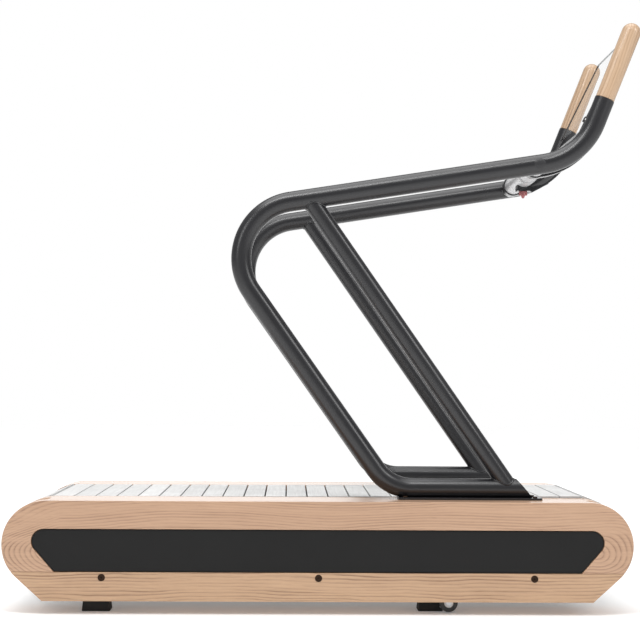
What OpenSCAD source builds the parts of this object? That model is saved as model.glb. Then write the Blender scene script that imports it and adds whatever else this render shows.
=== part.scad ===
// Manual slat-belt treadmill with timber side bodies and bent-tube handrails.
// X runs to the front (the end with the grips), Y across the belt, Z up, floor at Z = 0.

/* [Side bodies] */
// Length of each side body
base_l = 1740; // [1640:10:1840]
// Overall width over both side bodies
base_w = 830; // [800:10:880]
// Width of one side body
side_w = 174; // [166:2:182]
// Height of the foot boards above the floor
top_z = 310.4; // [306:0.2:315]
// Clearance between the side bodies and the floor
bottom_z = 36.2; // [32:0.2:40]
// Radius of the rounded ends
nose_r = 120; // [116:1:122]
// Angle of the undercut below each rounded end
undercut_a = 42; // [38:1:46]
// Thickness of the outer boards
board_t = 38; // [30:1:44]
// Thickness of the foot boards and end noses
foot_board_t = 24; // [18:1:28]
// Thickness of the inner cheeks
cheek_t = 15; // [12:1:18]

/* [Inset plate] */
// Height of the top edge of the inset plate
inset_top_z = 233.1; // [225:0.1:240]
// Height of the bottom edge of the inset plate, level with the joint of the two boards
inset_bottom_z = 115.3; // [112:0.1:120]
// Radius of the upper corners of the inset plate
inset_r = 34; // [28:1:40]
// Distance of the inset plate's ends from the ends of the side body
inset_margin = 81; // [75:1:100]
// Depth of the inset plate's face below the board
inset_depth = 4; // [2:0.5:6]

/* [Running belt] */
// Number of slats round the whole loop
slat_n = 61; // [61:1:61]
// Radius of the slat centre line round the drums
pitch_r = 115; // [113:1:117]
// Thickness of a slat
slat_t = 14; // [12:1:16]
// Gap between two slats on the top run
slat_gap = 3.7; // [3:0.1:5]
// Clearance between the slat ends and the cheeks
slat_side_gap = 4; // [3:0.5:6]
// Height of the drum axes at mid length
drum_z = 191.2; // [190:0.1:193]
// Distance of the drum axes from mid length
drum_x = 742; // [738:1:744]
// Upward slope of the belt towards the front, in degrees
belt_slope = 0.19; // [0.1:0.01:0.3]
// Sag of the top run at mid length
belt_sag = 1.3; // [0.5:0.1:1.5]

/* [Handrails] */
// Distance of the handrail planes from the outer faces
rail_inset = 119; // [115:1:123]
// Outer diameter of the handrail tube
tube_d = 57; // [54:0.5:60]
// Wall thickness of the tubes
tube_wall = 3; // [2:0.5:4]
// Outer diameter of the brace
brace_d = 51; // [45:0.5:54]
// Diameter of the timber grips
grip_d = 55; // [52:0.5:57]
// Length of the timber grips
grip_l = 235; // [200:5:240]
// Diameter of the crossbar
crossbar_d = 55; // [50:0.5:56]

/* [Display] */
// Width of the clear panel
panel_w = 400; // [340:10:420]
// Length of the clear panel up its slope
panel_l = 268; // [240:2:280]
// Thickness of the clear panel
panel_t = 5; // [4:0.5:6]

/* [Feet and wheels] */
// Radius of the transport wheels
wheel_r = 25.5; // [24:0.5:26]
// Height of the transport wheel axles
wheel_z = 28; // [27.5:0.5:29]

/* [Hidden] */
$fn = 96;

ash = "#CFA88E";
ash_light = "#D7AF8C";
grip_wood = "#D7B896";
black = "#3C3C3F";
inset_black = "#2F2F2F";
slat_grey = "#EBEBE9";
silver = "#DCDCDE";
steel = "#A8ABAE";
rubber_black = "#242424";
knob_red = "#963C41";
clear_grey = "#DDE6E8";

// Side body
outer_y = base_w / 2;
cavity_y = outer_y - board_t;
inner_y = outer_y - side_w;
cheek_y = inner_y + cheek_t;
nose_x = base_l / 2 - nose_r;
nose_z = top_z - nose_r;
inset_x = base_l / 2 - inset_margin - inset_r;
inset_z = inset_top_z - inset_r;
inset_undercut_a = 48.5;
inset_gap = 1.5;
pocket_d = 12;
screw_z = 100.6;
screw_x = 595.4;
screw_head_r = 9.75;
screw_shank_r = 4;
screw_sink = 5;

// Handrail centre line in the X-Z plane: base, lower bend, rear bend, front bend, grip joint
rail_y = outer_y - rail_inset;
tube_r = tube_d / 2;
tube_axis_z = top_z + 30;
rail_points = [[640, tube_axis_z], [200, tube_axis_z], [-345.5, 1110], [746, 1282.5], [813, 1452]];
rail_bends = [0, 125, 164, 190, 0];
bore_points = [[150, 411], [-345.5, 1110], [746, 1282.5], [813, 1452]];
bore_bends = [0, 164, 190, 0];
neck_a = atan2(169.5, 67);
lap = 4;
lap_step = 0.2;
plate_x0 = 224;
plate_x1 = 630;
plate_w = 84;
plate_t = 6;
plate_z = top_z + plate_t;
bolt_x = [244, 610];
bolt_dy = 31;
bolt_head_r = 6.5;
bolt_head_h = 4;
bolt_shank_r = 4;
cut_x = 560;
cut_z = 369;
cut_a = 49.6;
brace_top = [-30.5, 1159.9];
brace_foot = [542.1, tube_axis_z];
brace_r = brace_d / 2;
grip_r = grip_d / 2;
spigot_l = 50;
cap_r = 16;
cap_t = 0.8;

// Crossbar and display, in the X-Z plane
bar_x = 623;
bar_z = 1263.2;
bar_r = crossbar_d / 2;
fit = 0.05;
sleeve_r = 31;
sleeve_half = 100;
arm_centre = [609, 1453];
arm_r0 = 213;
arm_r1 = 220;
arm_a0 = -84;
arm_a1 = -20;
arm_y = 225;
arm_w = 36;
collar_r = 31.5;
shelf_x = 761;
shelf_z = 1372.5;
shelf_l = 50;
shelf_t = 5;
clip_y = 188;
clip_w = 24;
clip_t = 3;
clip_stem = 35;
panel_foot_x = 773.5;
panel_foot_z = 1409.6;
panel_a = 64;
knob_z = 1221;
knob_r = 13;
knob_h = 12;
knob_gap = 0.4;
knob_lobe_r = 4;
knob_shank_r = 4;
clamp_w = 40;
tongue_w = 24;
tongue_points = [[0, 0], [6, -4], [58, 24], [4, 14], [0, 14]];

// Belt loop, worked out in a frame that slopes with the belt
pitch = (4 * drum_x + 2 * PI * pitch_r) / slat_n;
slat_w = pitch - slat_gap;
slat_l = 2 * (inner_y - slat_side_gap);
top_n = 12;
wrap_n = 6;
bottom_n = 24;
wrap_start = (top_n + 1) * pitch - drum_x;
bottom_start = drum_x - ((top_n + 1 + wrap_n) * pitch - drum_x - PI * pitch_r);
belt_t = 4;
belt_w = 40;
belt_y = 190;
drum_r = pitch_r - slat_t / 2 - belt_t - 0.5;
drum_tube_r = 32;
drum_hole_x = 67;
drum_hole_r = 18;
axle_r = 17.5;
block_w = 60;
block_t = 36;
bearing_r = 13;
bearing_pitch = 60;
bearing_n = 11;
bearing_gap = 0.6;
stub_r = 4;
track_l = 1380;
track_t = 6;
track_h = 34;
track_drop = 48;

// Feet, wheels and frame steel
foot_w = 60;
foot_taper = 4;
rear_foot_x = -616.5;
rear_foot_y = 325;
rear_foot_l = 79;
front_foot_x = 315;
front_foot_y = 308;
front_foot_l = 70;
wheel_x = 363;
wheel_y = 362;
wheel_w = 20;
wheel_gap = 5;
wheel_axle_r = 5;
bracket_y = 346;
bracket_t = 5;
bracket_w = 44;
bracket_z = 12;
bracket_h = 68.2;
wheel_nut_r = 8;
beam_w = 80;
beam_h = 80;
beam_l = 1390;
beam_z = top_z - foot_board_t - beam_h;
member_x = 380;
member_l = 80;
member_h = 40;
member_z = 130;

// The origin lies under the middle of the whole object, so everything moves back a little
tip_l = grip_l - grip_r;
tip_x = rail_points[4][0] + tip_l * cos(neck_a) + grip_r;
origin_x = -(tip_x - base_l / 2) / 2;

module placed() {
  translate([origin_x, 0, 0]) children();
}

// Right-hand parts lie on the -Y side; left-hand parts are their mirror images
module left() {
  mirror([0, 1, 0]) children();
}

// Extrudes an X-Z profile from y0 to y1, with y1 above y0
module profile(y0, y1) {
  translate([0, y1, 0]) rotate([90, 0, 0]) linear_extrude(height = y1 - y0) children();
}

// A cylinder along Y between y0 and y1
module rod_y(x, z, r, y0, y1) {
  translate([x, y1, z]) rotate([90, 0, 0]) cylinder(h = y1 - y0, r = r);
}

// Outline with a flat top, round ends and sloping undercuts, shrunk by d all round
module boat(cx, cz, r, z_low, slope, d = 0) {
  rr = r - d;
  low = z_low + d;
  tx = cx + rr * sin(slope);
  tz = cz - rr * cos(slope);
  bx = tx - (tz - low) / tan(slope);
  for (s = [-1, 1]) translate([s * cx, cz]) circle(r = rr);
  polygon([
    [-bx, low], [bx, low], [tx, tz], [cx, cz],
    [cx, cz + rr], [-cx, cz + rr], [-cx, cz], [-tx, tz]
  ]);
}

module side_outline(d = 0) {
  boat(nose_x, nose_z, nose_r, bottom_z, undercut_a, d);
}

module inset_outline(d = 0) {
  boat(inset_x, inset_z, inset_r, inset_bottom_z, inset_undercut_a, d);
}

module half_plane_above(z) {
  translate([-base_l, z]) square([2 * base_l, base_l]);
}

module rounded_rect(l, w, r) {
  translate([-l / 2, -w / 2 + r]) square([l, w - 2 * r]);
  translate([-l / 2 + r, -w / 2]) square([l - 2 * r, w]);
  for (sx = [-1, 1], sy = [-1, 1])
    translate([sx * (l / 2 - r), sy * (w / 2 - r)]) circle(r = r);
}

// ---- side bodies ----

module upper_side_board() {
  color(ash) placed() difference() {
    profile(-outer_y, -cavity_y) intersection() {
      side_outline();
      half_plane_above(inset_bottom_z);
    }
    profile(-outer_y - 1, -outer_y + pocket_d) intersection() {
      inset_outline();
      half_plane_above(inset_bottom_z);
    }
  }
}

module lower_side_board() {
  color(ash_light) placed() difference() {
    profile(-outer_y, -cavity_y) difference() {
      side_outline();
      half_plane_above(inset_bottom_z);
    }
    for (s = [-1, 0, 1]) {
      rod_y(s * screw_x, screw_z, screw_shank_r, -outer_y - 1, -cavity_y + 1);
      rod_y(s * screw_x, screw_z, screw_head_r, -outer_y - 1, -outer_y + screw_sink);
    }
  }
}

module inset_plate() {
  color(inset_black) placed()
    profile(-outer_y + inset_depth, -outer_y + pocket_d) inset_outline(inset_gap);
}

module panel_screw_row() {
  for (s = [-1, 0, 1]) {
    rod_y(s * screw_x, screw_z, screw_head_r, -outer_y - 0.8, -outer_y + screw_sink);
    rod_y(s * screw_x, screw_z, screw_shank_r, -outer_y + screw_sink, -cavity_y);
  }
}

module panel_screws() {
  color(rubber_black) placed() {
    panel_screw_row();
    left() panel_screw_row();
  }
}

module foot_board() {
  color(ash) placed() difference() {
    translate([-nose_x, -cavity_y, top_z - foot_board_t])
      cube([2 * nose_x, cavity_y - cheek_y, foot_board_t]);
    bolt_places() translate([0, 0, top_z - foot_board_t - 1])
      cylinder(h = foot_board_t + 2, r = bolt_shank_r + fit);
  }
}

// One bent shell at each end, from the foot board down to the bottom board
module end_noses() {
  color(ash) placed() profile(-cavity_y, -cheek_y) difference() {
    side_outline();
    side_outline(foot_board_t);
    translate([-nose_x, bottom_z - 1]) square([2 * nose_x, top_z]);
  }
}

module inner_cheek() {
  color(ash) placed() difference() {
    profile(-cheek_y, -inner_y) side_outline();
    belt_frame() for (s = [-1, 1]) rod_y(s * drum_x, 0, axle_r + fit, -cheek_y - 1, -inner_y + 1);
  }
}

module bottom_board() {
  color(ash_light) placed() difference() {
    translate([-nose_x, -cavity_y, bottom_z])
      cube([2 * nose_x, cavity_y - cheek_y, foot_board_t]);
    translate([wheel_x - wheel_r - wheel_gap, -cavity_y - 1, bottom_z - 1])
      cube([2 * (wheel_r + wheel_gap), cavity_y - bracket_y + bracket_t + 1, foot_board_t + 2]);
  }
}

// ---- steel frame inside the side bodies ----

module side_beam() {
  color(black) placed() difference() {
    translate([-beam_l / 2, -rail_y - beam_w / 2, beam_z]) cube([beam_l, beam_w, beam_h]);
    translate([-beam_l / 2 - 1, -rail_y - beam_w / 2 + tube_wall, beam_z + tube_wall])
      cube([beam_l + 2, beam_w - 2 * tube_wall, beam_h - 2 * tube_wall]);
    bolt_places() translate([0, 0, beam_z + beam_h / 2]) cylinder(h = beam_h, r = bolt_shank_r + fit);
  }
}

module cross_member(x) {
  color(black) placed() difference() {
    translate([x - member_l / 2, -inner_y, member_z]) cube([member_l, 2 * inner_y, member_h]);
    translate([x - member_l / 2 + tube_wall, -inner_y - 1, member_z + tube_wall])
      cube([member_l - 2 * tube_wall, 2 * inner_y + 2, member_h - 2 * tube_wall]);
  }
}

// ---- belt loop ----

// The drum axes lie on this frame's X axis; it slopes up to the front
module belt_frame() {
  translate([0, 0, drum_z]) rotate([0, -belt_slope, 0]) children();
}

function sag_at(x) = belt_sag * (1 - pow(x / drum_x, 2));
function sag_angle(x) = -atan(2 * belt_sag * x / pow(drum_x, 2));

// Outline of one slat across its width: chamfered tread, narrower underside
module slat_outline() {
  h = slat_w / 2;
  t = slat_t / 2;
  polygon([
    [-h + 2.4, -t], [h - 2.4, -t], [h, t - 5], [h, t - 1], [h - 1, t],
    [-h + 1, t], [-h, t - 1], [-h, t - 5]
  ]);
}

module slat() {
  profile(-slat_l / 2, slat_l / 2) slat_outline();
}

// Two short lengths of toothed belt fixed under a slat
module belt_pieces() {
  for (s = [-1, 1])
    translate([-slat_w / 2 + 3, s * belt_y - belt_w / 2, -slat_t / 2 - belt_t])
      cube([slat_w - 6, belt_w, belt_t]);
}

module top_places() {
  belt_frame() for (i = [-top_n:top_n])
    translate([i * pitch, 0, pitch_r - sag_at(i * pitch)]) rotate([0, sag_angle(i * pitch), 0]) children();
}

module bottom_places() {
  belt_frame() for (i = [0:bottom_n - 1])
    translate([bottom_start - i * pitch, 0, -pitch_r]) rotate([0, 180, 0]) children();
}

// side is 1 at the front drum and -1 at the rear drum
module wrap_places(side) {
  belt_frame() translate([side * drum_x, 0, 0])
    for (i = [0:wrap_n - 1])
      rotate([0, side * (wrap_start + i * pitch) / pitch_r * 180 / PI, 0])
        translate([0, 0, pitch_r]) children();
}

module top_slats() {
  color(slat_grey) placed() top_places() slat();
}

module bottom_slats() {
  color(slat_grey) placed() bottom_places() slat();
}

module front_slats() {
  color(slat_grey) placed() wrap_places(1) slat();
}

module rear_slats() {
  color(slat_grey) placed() wrap_places(-1) slat();
}

module top_belts() {
  color(rubber_black) placed() top_places() belt_pieces();
}

module bottom_belts() {
  color(rubber_black) placed() bottom_places() belt_pieces();
}

module front_belts() {
  color(rubber_black) placed() wrap_places(1) belt_pieces();
}

module rear_belts() {
  color(rubber_black) placed() wrap_places(-1) belt_pieces();
}

// Two pulleys on a tube, bored for the fixed axle
module drum(side) {
  color(steel) placed() belt_frame() difference() {
    union() {
      rod_y(side * drum_x, 0, drum_tube_r, -inner_y + 12, inner_y - 12);
      for (s = [-1, 1])
        rod_y(side * drum_x, 0, drum_r, s * belt_y - belt_w / 2, s * belt_y + belt_w / 2);
    }
    rod_y(side * drum_x, 0, axle_r + fit, -inner_y, inner_y);
    for (a = [0:60:300])
      translate([side * drum_x, 0, 0]) rotate([0, a, 0])
        rod_y(drum_hole_x, 0, drum_hole_r, -inner_y, inner_y);
  }
}

module drum_axles() {
  color(steel) placed() belt_frame() for (s = [-1, 1])
    rod_y(s * drum_x, 0, axle_r, -cheek_y - block_t + 2, cheek_y + block_t - 2);
}

module axle_block(x) {
  difference() {
    translate([x - block_w / 2, -cheek_y - block_t, -block_w / 2]) cube([block_w, block_t, block_w]);
    rod_y(x, 0, axle_r + fit, -cheek_y - block_t - 1, -cheek_y + 1);
  }
}

module axle_blocks() {
  color(black) placed() belt_frame() for (s = [-1, 1]) {
    axle_block(s * drum_x);
    left() axle_block(s * drum_x);
  }
}

// Flat steel bar on the cheek with a row of stub pins for the ball bearings
module bearing_rail() {
  color(steel) placed() belt_frame() {
    translate([-track_l / 2, -inner_y, pitch_r - track_drop]) cube([track_l, track_t, track_h]);
    for (i = [-bearing_n:bearing_n])
      rod_y(i * bearing_pitch, bearing_axis_z(i), stub_r, -inner_y + track_t, -inner_y + track_t + 12);
  }
}

function bearing_axis_z(i) = pitch_r - slat_t / 2 - bearing_gap - bearing_r - sag_at(i * bearing_pitch);

module track_bearings() {
  color(silver) placed() belt_frame() for (i = [-bearing_n:bearing_n]) difference() {
    rod_y(i * bearing_pitch, bearing_axis_z(i), bearing_r, -inner_y + track_t + 2, -inner_y + track_t + 10);
    rod_y(i * bearing_pitch, bearing_axis_z(i), stub_r + fit, -inner_y + track_t, -inner_y + track_t + 12);
  }
}

// ---- handrails ----

function heading(p, q) = atan2(q[1] - p[1], q[0] - p[0]);
function wrapped(a) = a > 180 ? a - 360 : (a < -180 ? a + 360 : a);
function turn_at(p, i) = wrapped(heading(p[i], p[i + 1]) - heading(p[i - 1], p[i]));
function trim_at(p, b, i) = b[i] == 0 ? 0 : b[i] * tan(abs(turn_at(p, i)) / 2);
function lapped_trim(p, b, i) = b[i] == 0 ? 0 : trim_at(p, b, i) - lap;
function along(p, q, d) = p + d * (q - p) / norm(q - p);

module straight(p, q, r) {
  translate([p[0], p[1], 0]) rotate([0, 0, heading(p, q)]) rotate([0, 90, 0])
    cylinder(h = norm(q - p), r = r);
}

module elbow(p, b, i, r) {
  a = heading(p[i - 1], p[i]);
  turn = turn_at(p, i);
  s = sign(turn);
  start = along(p[i], p[i - 1], trim_at(p, b, i));
  centre = start + s * b[i] * [-sin(a), cos(a)];
  translate([centre[0], centre[1], 0])
    rotate([0, 0, s > 0 ? a - 90 : a + 90 + turn])
      rotate_extrude(angle = abs(turn)) translate([b[i], 0]) circle(r = r);
}

// A round bar of radius r along p, with bends of radius b, in the plane Y = -rail_y.
// The straights run a little way into the bends, which are a hair thinner.
module bent_bar(p, b, r) {
  last = len(p) - 1;
  translate([0, -rail_y, 0]) rotate([90, 0, 0]) {
    for (i = [0:last - 1])
      straight(
        along(p[i], p[i + 1], lapped_trim(p, b, i)),
        along(p[i + 1], p[i], lapped_trim(p, b, i + 1)),
        r
      );
    for (i = [1:last - 1]) elbow(p, b, i, r - lap_step);
  }
}

// The bore stops above the lower bend, so the foot that is trimmed onto its plate is solid
module handrail_tube() {
  color(black) placed() difference() {
    bent_bar(rail_points, rail_bends, tube_r);
    bent_bar(bore_points, bore_bends, tube_r - tube_wall);
    below_plate();
    translate([cut_x, -rail_y - 50, cut_z]) rotate([0, cut_a, 0]) translate([-60, 0, 0])
      cube([300, 100, 200]);
  }
}

module handrail_brace() {
  color(black) placed() difference() {
    translate([0, -rail_y, 0]) rotate([90, 0, 0]) straight(brace_top, brace_foot, brace_r);
    translate([0, -rail_y, 0]) rotate([90, 0, 0]) straight(brace_top, brace_foot, brace_r - tube_wall);
    translate([0, -rail_y, 0]) rotate([90, 0, 0]) {
      straight(rail_points[2], rail_points[3], tube_r);
      straight(rail_points[0], rail_points[1], tube_r);
    }
    below_plate();
  }
}

// Everything under the top face of the handrail's plate
module below_plate() {
  translate([0, -rail_y - 50, plate_z - 50]) cube([800, 100, 50]);
}

module handrail_plate() {
  color(black) placed() difference() {
    translate([(plate_x0 + plate_x1) / 2, -rail_y, top_z]) linear_extrude(height = plate_t)
      rounded_rect(plate_x1 - plate_x0, plate_w, 8);
    bolt_places() translate([0, 0, top_z - 1]) cylinder(h = plate_t + 2, r = bolt_shank_r + fit);
  }
}

// The four bolts of one handrail plate
module bolt_places() {
  for (x = bolt_x, s = [-1, 1]) translate([x, -rail_y + s * bolt_dy, 0]) children();
}

module plate_bolt_set() {
  grip_z = top_z - foot_board_t - tube_wall;
  bolt_places() {
    translate([0, 0, plate_z]) cylinder(h = bolt_head_h, r = bolt_head_r);
    translate([0, 0, grip_z]) cylinder(h = plate_z - grip_z, r = bolt_shank_r);
  }
}

module plate_bolts() {
  color(rubber_black) placed() {
    plate_bolt_set();
    left() plate_bolt_set();
  }
}

// Thin domed cap over the crossbar's bolt, on the outer side of the rail
module rail_cap() {
  difference() {
    intersection() {
      rod_y(bar_x, bar_z, cap_r, -rail_y - tube_r - 5, -rail_y - 10);
      rail_length(tube_r + cap_t, 60);
    }
    rail_length(tube_r + fit, 80);
  }
}

// A length of the upper rail, centred on the crossbar's axis
module rail_length(r, l) {
  rail_a = heading(rail_points[2], rail_points[3]);
  translate([bar_x, -rail_y, bar_z]) rotate([0, 90 - rail_a, 0]) cylinder(h = l, r = r, center = true);
}

module rail_caps() {
  color(black) placed() {
    rail_cap();
    left() rail_cap();
  }
}

// Turned grip with a spigot inside the tube
module grip() {
  color(grip_wood) placed()
    translate([rail_points[4][0], -rail_y, rail_points[4][1]]) rotate([0, 90 - neck_a, 0]) {
      cylinder(h = tip_l, r = grip_r);
      translate([0, 0, tip_l]) sphere(r = grip_r);
      translate([0, 0, -spigot_l]) cylinder(h = spigot_l, r = tube_r - tube_wall - 0.1);
    }
}

module crossbar() {
  color(silver) placed() difference() {
    rod_y(bar_x, bar_z, bar_r, -rail_y, rail_y);
    rod_y(bar_x, bar_z, bar_r - tube_wall, -rail_y - 1, rail_y + 1);
    for (s = [-1, 1])
      translate([0, s * rail_y, 0]) rotate([90, 0, 0])
        straight(rail_points[2], rail_points[3], tube_r);
  }
}

// ---- display ----

module console_housing() {
  color(silver) placed() difference() {
    rod_y(bar_x, bar_z, sleeve_r, -sleeve_half, sleeve_half);
    rod_y(bar_x, bar_z, bar_r + fit, -sleeve_half - 1, sleeve_half + 1);
  }
}

// Block under the housing, with a tapered tongue to the front
module clamp_block() {
  color(black) placed() difference() {
    union() {
      translate([bar_x - clamp_w / 2, -clamp_w / 2, knob_z]) cube([clamp_w, clamp_w, 30]);
      profile(-tongue_w / 2, tongue_w / 2) translate([bar_x + clamp_w / 2, knob_z]) polygon(tongue_points);
    }
    rod_y(bar_x, bar_z, sleeve_r, -clamp_w, clamp_w);
    translate([bar_x, 0, knob_z - 1]) cylinder(h = 30, r = knob_shank_r + fit);
  }
}

module clamp_knob() {
  color(knob_red) placed() translate([bar_x, 0, 0]) {
    translate([0, 0, knob_z - knob_gap]) cylinder(h = 8, r = knob_shank_r);
    difference() {
      translate([0, 0, knob_z - knob_gap - knob_h]) cylinder(h = knob_h, r = knob_r);
      for (a = [0:60:300]) rotate([0, 0, a]) translate([knob_r + 2, 0, knob_z - knob_h - 1])
        cylinder(h = knob_h + 2, r = knob_lobe_r);
    }
    translate([0, 0, knob_z - 21]) cylinder(h = 9, r1 = 3, r2 = 7, $fn = 48);
  }
}

// Two arms on collars round the crossbar, a shelf between their ends, and two clips for the panel
module display_cradle() {
  color(black) placed() difference() {
    union() {
      for (s = [-1, 1]) {
        rod_y(bar_x, bar_z, collar_r, s * arm_y - arm_w / 2, s * arm_y + arm_w / 2);
        profile(s * arm_y - arm_w / 2 + 1, s * arm_y + arm_w / 2 - 1) arm_sector();
        profile(s * clip_y - clip_w / 2, s * clip_y + clip_w / 2) clip_outline();
      }
      profile(-arm_y - arm_w / 2, arm_y + arm_w / 2)
        translate([shelf_x, shelf_z]) square([shelf_l, shelf_t]);
    }
    rod_y(bar_x, bar_z, bar_r + fit, -rail_y, rail_y);
  }
}

// Ring sector that follows the outside of the rail's front bend
module arm_sector() {
  reach = 2 * arm_r1;
  mid_a = (arm_a0 + arm_a1) / 2;
  translate(arm_centre) intersection() {
    difference() {
      circle(r = arm_r1);
      circle(r = arm_r0);
    }
    polygon([[0, 0], for (a = [arm_a0, mid_a, arm_a1]) reach * [cos(a), sin(a)]]);
  }
}

// A point u up the panel from its foot and o behind its front face
function on_panel(u, o) =
  [panel_foot_x, panel_foot_z] + u * [cos(panel_a), sin(panel_a)] + o * [sin(panel_a), -cos(panel_a)];

// Hook round the panel's lower edge, on a stem that stands on the shelf
module clip_outline() {
  polygon([
    on_panel(-3, -2), on_panel(10, -2), on_panel(10, 0), on_panel(0, 0),
    on_panel(0, panel_t), on_panel(12, panel_t), on_panel(12, panel_t + clip_t),
    on_panel(-clip_stem, panel_t + clip_t), on_panel(-clip_stem, clip_t), on_panel(-3, clip_t)
  ]);
}

module clear_panel() {
  color(clear_grey, 0.35) placed()
    translate([panel_foot_x, 0, panel_foot_z]) rotate([0, 90 - panel_a, 0])
      rotate([0, 90, 0]) translate([-panel_l / 2, 0, 0])
        linear_extrude(height = panel_t) rounded_rect(panel_l, panel_w, 12);
}

// ---- feet and wheels ----

module foot(x, y, l, w) {
  color(rubber_black) placed() profile(-y - w / 2, -y + w / 2)
    polygon([
      [x - l / 2, 0], [x + l / 2, 0],
      [x + l / 2 - foot_taper, bottom_z], [x - l / 2 + foot_taper, bottom_z]
    ]);
}

module rear_foot() {
  foot(rear_foot_x, rear_foot_y, rear_foot_l, foot_w);
}

module front_foot() {
  foot(front_foot_x, front_foot_y, front_foot_l, foot_w);
}

module wheel_bracket() {
  wheel_end_y = -wheel_y - wheel_w / 2;
  translate([wheel_x - bracket_w / 2, -bracket_y, bracket_z]) cube([bracket_w, bracket_t, bracket_h]);
  rod_y(wheel_x, wheel_z, wheel_axle_r, wheel_end_y - 3, -bracket_y);
  rod_y(wheel_x, wheel_z, wheel_nut_r, wheel_end_y - 4.5, wheel_end_y - 1.5);
}

module wheel_brackets() {
  color(steel) placed() {
    wheel_bracket();
    left() wheel_bracket();
  }
}

module transport_wheel() {
  color(rubber_black) placed() difference() {
    rod_y(wheel_x, wheel_z, wheel_r, -wheel_y - wheel_w / 2, -wheel_y + wheel_w / 2);
    rod_y(wheel_x, wheel_z, wheel_axle_r + fit, -wheel_y - wheel_w, -wheel_y + wheel_w);
  }
}

upper_side_board();  // upper_side_board_r
left() upper_side_board();  // upper_side_board_l
lower_side_board();  // lower_side_board_r
left() lower_side_board();  // lower_side_board_l
inset_plate();  // inset_plate_r
left() inset_plate();  // inset_plate_l
panel_screws();
foot_board();  // foot_board_r
left() foot_board();  // foot_board_l
end_noses();  // end_noses_r
left() end_noses();  // end_noses_l
inner_cheek();  // inner_cheek_r
left() inner_cheek();  // inner_cheek_l
bottom_board();  // bottom_board_r
left() bottom_board();  // bottom_board_l
side_beam();  // side_beam_r
left() side_beam();  // side_beam_l
cross_member(member_x);  // front_cross_member
cross_member(-member_x);  // rear_cross_member
bearing_rail();  // bearing_rail_r
left() bearing_rail();  // bearing_rail_l
track_bearings();  // track_bearings_r
left() track_bearings();  // track_bearings_l
drum_axles();
axle_blocks();
drum(1);  // front_drum
drum(-1);  // rear_drum
top_slats();
bottom_slats();
front_slats();
rear_slats();
top_belts();
bottom_belts();
front_belts();
rear_belts();
handrail_plate();  // handrail_plate_r
left() handrail_plate();  // handrail_plate_l
plate_bolts();
handrail_tube();  // handrail_tube_r
left() handrail_tube();  // handrail_tube_l
handrail_brace();  // handrail_brace_r
left() handrail_brace();  // handrail_brace_l
rail_caps();
grip();  // grip_r
left() grip();  // grip_l
crossbar();
console_housing();
clamp_block();
clamp_knob();
display_cradle();
clear_panel();
front_foot();  // front_foot_r
left() front_foot();  // front_foot_l
rear_foot();  // rear_foot_r
left() rear_foot();  // rear_foot_l
wheel_brackets();
transport_wheel();  // transport_wheel_r
left() transport_wheel();  // transport_wheel_l
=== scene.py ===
"""The looks of a manual slat-belt treadmill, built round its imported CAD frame.

Metres, in the row frame: X to the front, Y across the belt, Z up. Right-hand pieces lie on the -Y side.
"""
import math

import bmesh
import bpy
from mathutils import Matrix, Vector


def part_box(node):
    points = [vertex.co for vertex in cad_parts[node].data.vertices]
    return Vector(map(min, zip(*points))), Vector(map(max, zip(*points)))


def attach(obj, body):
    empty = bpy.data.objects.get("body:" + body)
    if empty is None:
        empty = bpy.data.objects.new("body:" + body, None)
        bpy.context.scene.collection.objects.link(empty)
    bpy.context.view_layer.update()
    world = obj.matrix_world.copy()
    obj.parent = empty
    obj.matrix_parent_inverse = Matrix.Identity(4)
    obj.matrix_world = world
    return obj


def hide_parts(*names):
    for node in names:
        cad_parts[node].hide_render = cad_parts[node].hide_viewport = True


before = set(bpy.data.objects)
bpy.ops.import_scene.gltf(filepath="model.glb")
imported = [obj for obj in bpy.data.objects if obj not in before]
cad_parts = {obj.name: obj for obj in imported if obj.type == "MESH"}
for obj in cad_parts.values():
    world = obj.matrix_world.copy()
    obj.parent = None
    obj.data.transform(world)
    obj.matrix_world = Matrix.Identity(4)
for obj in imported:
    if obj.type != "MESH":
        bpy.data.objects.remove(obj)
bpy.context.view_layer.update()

# ---- driving places, from the frame ----

UPPER_LO, UPPER_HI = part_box("upper_side_board_r")
INSET_LO, INSET_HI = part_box("inset_plate_r")
NOSE_LO, NOSE_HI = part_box("end_noses_r")
FOOT_BOARD_LO, FOOT_BOARD_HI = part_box("foot_board_r")
BAR_LO, BAR_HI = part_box("crossbar")
HOUSING_LO, HOUSING_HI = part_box("console_housing")
RAIL_LO, RAIL_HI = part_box("handrail_tube_r")
BRACE_LO, BRACE_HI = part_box("handrail_brace_r")
GRIP_LO, GRIP_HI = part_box("grip_r")

MID_X = (UPPER_LO.x + UPPER_HI.x) / 2
HALF_L = (UPPER_HI.x - UPPER_LO.x) / 2
TOP_Z = UPPER_HI.z
BOTTOM_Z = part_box("lower_side_board_r")[0].z
JOINT_Z = UPPER_LO.z
OUTER_Y = UPPER_LO.y
BOARD_T = UPPER_HI.y - UPPER_LO.y
NOSE_X = FOOT_BOARD_HI.x - MID_X
NOSE_R = HALF_L - NOSE_X
SHELL_T = FOOT_BOARD_HI.z - FOOT_BOARD_LO.z
UNDERCUT = math.radians(42)
INSET_R = 0.0325
INSET_UNDERCUT = math.radians(48.5)
INSET_GAP = 0.0015
GLUE_GAP = 0.0002
SHELL_GAP = 0.0003
BOARD_EDGE = 0.0016
SHELL_EDGE = 0.0008
OUTLINE_ANGLE = 24
SCREW_HOLE_R = 0.0102
SCREW_HEAD_R = 0.0096
PLATE_TOP_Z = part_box("handrail_plate_r")[1].z
RAIL_Y = (RAIL_LO.y + RAIL_HI.y) / 2
TUBE_R = (RAIL_HI.y - RAIL_LO.y) / 2
BRACE_R = (BRACE_HI.y - BRACE_LO.y) / 2
GRIP_R = (GRIP_HI.y - GRIP_LO.y) / 2
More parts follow.
